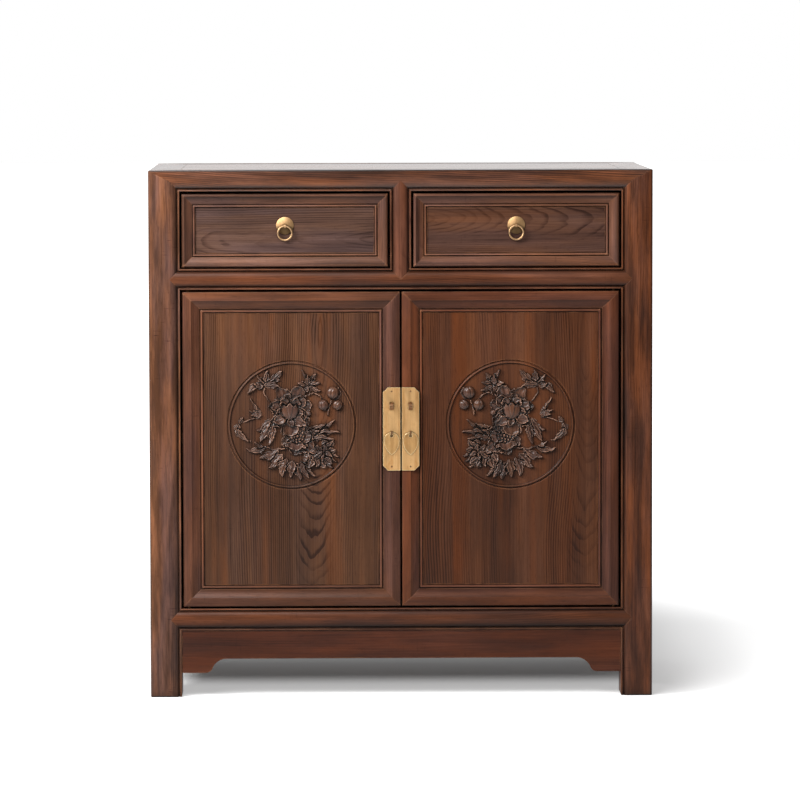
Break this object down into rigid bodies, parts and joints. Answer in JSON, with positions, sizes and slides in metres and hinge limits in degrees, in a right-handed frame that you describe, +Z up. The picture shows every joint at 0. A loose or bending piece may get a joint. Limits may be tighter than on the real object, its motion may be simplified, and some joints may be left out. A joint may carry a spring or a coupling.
{
  "type": "kang cabinet",
  "caption": "Low wooden cabinet with drawers over panelled doors, carved peony roundels, scrolled apron and brass pulls.",
  "frame": {"origin": "on the floor, at the centre of the whole object's footprint, hardware included", "axes": "+Z up; -Y is the front with the doors and drawers; +X is to the right as seen from the front"},
  "size_m": [0.8, 0.4084, 0.84],
  "materials": {
    "frame_wood": "satin oiled, dark reddish walnut brown",
    "panel_wood": "satin oiled, dark brown with open grain",
    "inner_wood": "plain, lightly oiled",
    "brass": "satin, lightly brushed"
  },
  "bodies": {
    "root": {"apron_front": "frame_wood", "back_panels": "inner_wood", "bottom_rail_back": "inner_wood", "bottom_rail_front": "frame_wood", "bottom_side_rails": "frame_wood", "cabinet_floor": "inner_wood", "drawer_divider": "frame_wood", "drawer_runners": "inner_wood", "leg_back_left": "frame_wood", "leg_back_right": "frame_wood", "leg_front_left": "frame_wood", "leg_front_right": "frame_wood", "mid_rail_back": "inner_wood", "mid_rail_front": "frame_wood", "mid_side_rails": "frame_wood", "shelf": "inner_wood", "shelf_bearers": "inner_wood", "side_aprons": "frame_wood", "side_panels_left": "panel_wood", "side_panels_right": "panel_wood", "top_battens": "inner_wood", "top_panel": "panel_wood", "top_rail_back": "frame_wood", "top_rail_front": "frame_wood", "top_rail_left": "frame_wood", "top_rail_right": "frame_wood"},
    "door_left": {"door_left_bottom_rail": "frame_wood", "door_left_hinge_stile": "frame_wood", "door_left_lock_plate": "brass", "door_left_meeting_stile": "frame_wood", "door_left_panel": "panel_wood", "door_left_pivot_pins": "brass", "door_left_staples": "brass", "door_left_top_rail": "frame_wood"},
    "door_right": {"door_right_bottom_rail": "frame_wood", "door_right_hinge_stile": "frame_wood", "door_right_lock_plate": "brass", "door_right_meeting_stile": "frame_wood", "door_right_panel": "panel_wood", "door_right_pivot_pins": "brass", "door_right_staples": "brass", "door_right_top_rail": "frame_wood"},
    "drawer_left": {"drawer_left_back": "inner_wood", "drawer_left_bottom": "inner_wood", "drawer_left_front_frame": "frame_wood", "drawer_left_front_panel": "panel_wood", "drawer_left_ring_eye": "brass", "drawer_left_rosette": "brass", "drawer_left_sides": "inner_wood"},
    "drawer_right": {"drawer_right_back": "inner_wood", "drawer_right_bottom": "inner_wood", "drawer_right_front_frame": "frame_wood", "drawer_right_front_panel": "panel_wood", "drawer_right_ring_eye": "brass", "drawer_right_rosette": "brass", "drawer_right_sides": "inner_wood"},
    "pull_left": {"door_left_pull": "brass"},
    "pull_right": {"door_right_pull": "brass"},
    "ring_left": {"drawer_left_ring": "brass"},
    "ring_right": {"drawer_right_ring": "brass"}
  },
  "joints": [
    {"name": "door_left", "type": "hinge", "parent": "root", "child": "door_left", "pos_m": [-0.338, -0.1858, 0.396], "axis": [0, 0, -1], "range_deg": [0, 105]},
    {"name": "drawer_left", "type": "slide", "parent": "root", "child": "drawer_left", "axis": [0, -1, 0], "range_m": [0, 0.25]},
    {"name": "ring_left", "type": "hinge", "parent": "drawer_left", "child": "ring_left", "pos_m": [-0.1835, -0.1923, 0.75135], "axis": [-1, 0, 0], "range_deg": [-6, 95]},
    {"name": "pull_left", "type": "hinge", "parent": "door_left", "child": "pull_left", "pos_m": [-0.015, -0.1975, 0.4219], "axis": [-1, 0, 0], "range_deg": [0, 90]},
    {"name": "door_right", "type": "hinge", "parent": "root", "child": "door_right", "pos_m": [0.338, -0.1858, 0.396], "axis": [0, 0, 1], "range_deg": [0, 105]},
    {"name": "drawer_right", "type": "slide", "parent": "root", "child": "drawer_right", "axis": [0, -1, 0], "range_m": [0, 0.25]},
    {"name": "ring_right", "type": "hinge", "parent": "drawer_right", "child": "ring_right", "pos_m": [0.1835, -0.1923, 0.75135], "axis": [-1, 0, 0], "range_deg": [-6, 95]},
    {"name": "pull_right", "type": "hinge", "parent": "door_right", "child": "pull_right", "pos_m": [0.015, -0.1975, 0.4219], "axis": [-1, 0, 0], "range_deg": [0, 90]}
  ]
}
